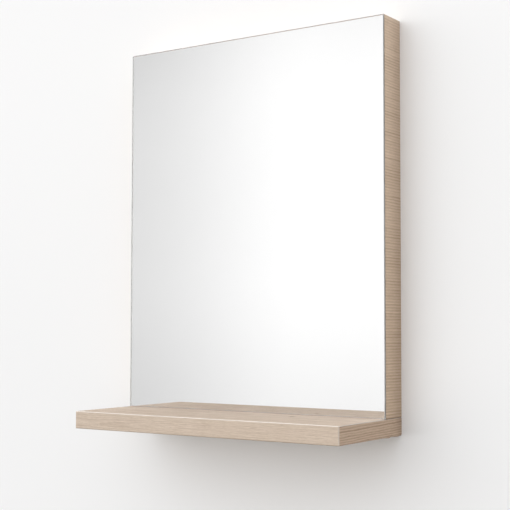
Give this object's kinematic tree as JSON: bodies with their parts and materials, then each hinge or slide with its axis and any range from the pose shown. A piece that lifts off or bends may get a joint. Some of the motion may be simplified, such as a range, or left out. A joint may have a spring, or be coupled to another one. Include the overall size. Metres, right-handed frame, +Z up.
{
  "type": "wall mirror with shelf",
  "caption": "Frameless mirror bonded to a shallow wood-decor box, over a thick shelf, hung on the wall by keyhole plates.",
  "frame": {"origin": "in the plane of the wall, at the middle of the width and at the lower edge of the shelf's rear face", "axes": "+X to the right across the width, +Y into the wall, +Z up, so the mirror faces -Y"},
  "size_m": [0.5, 0.185, 0.6392],
  "materials": {
    "mirror_glass": "clear float glass, silvered and painted behind, ground edges",
    "mirror_tape": "white foam tape, sticky on both faces",
    "backing_board": "brown fibreboard, smooth face and woven back",
    "side_decor": "matt oak decor, fine grain across the panel, raw chipboard in the cut edges",
    "rail_decor": "matt oak decor, grain along the rail, raw chipboard in the cut edges",
    "shelf_decor": "matt oak decor, grain along the shelf",
    "edge_band": "matt oak decor edge band with eased edges",
    "dowel_wood": "plain beech",
    "cap_plastic": "matt, the colour of the decor",
    "zinc_steel": "bright zinc plate"
  },
  "bodies": {
    "root": {"mirror_glass": "mirror_glass", "tape_strips": "mirror_tape", "backing_board": "backing_board", "left_side_panel": "side_decor", "right_side_panel": "side_decor", "left_top_band": "edge_band", "right_top_band": "edge_band", "top_rail": "rail_decor", "bottom_rail": "rail_decor", "shelf_board": "shelf_decor", "shelf_front_band": "edge_band", "shelf_left_band": "edge_band", "shelf_right_band": "edge_band", "dowels": "dowel_wood", "shelf_screws": "zinc_steel", "screw_caps": "cap_plastic", "backing_screws": "zinc_steel", "left_hanger_plate": "zinc_steel", "right_hanger_plate": "zinc_steel", "hanger_screws": "zinc_steel"}
  },
  "joints": []
}
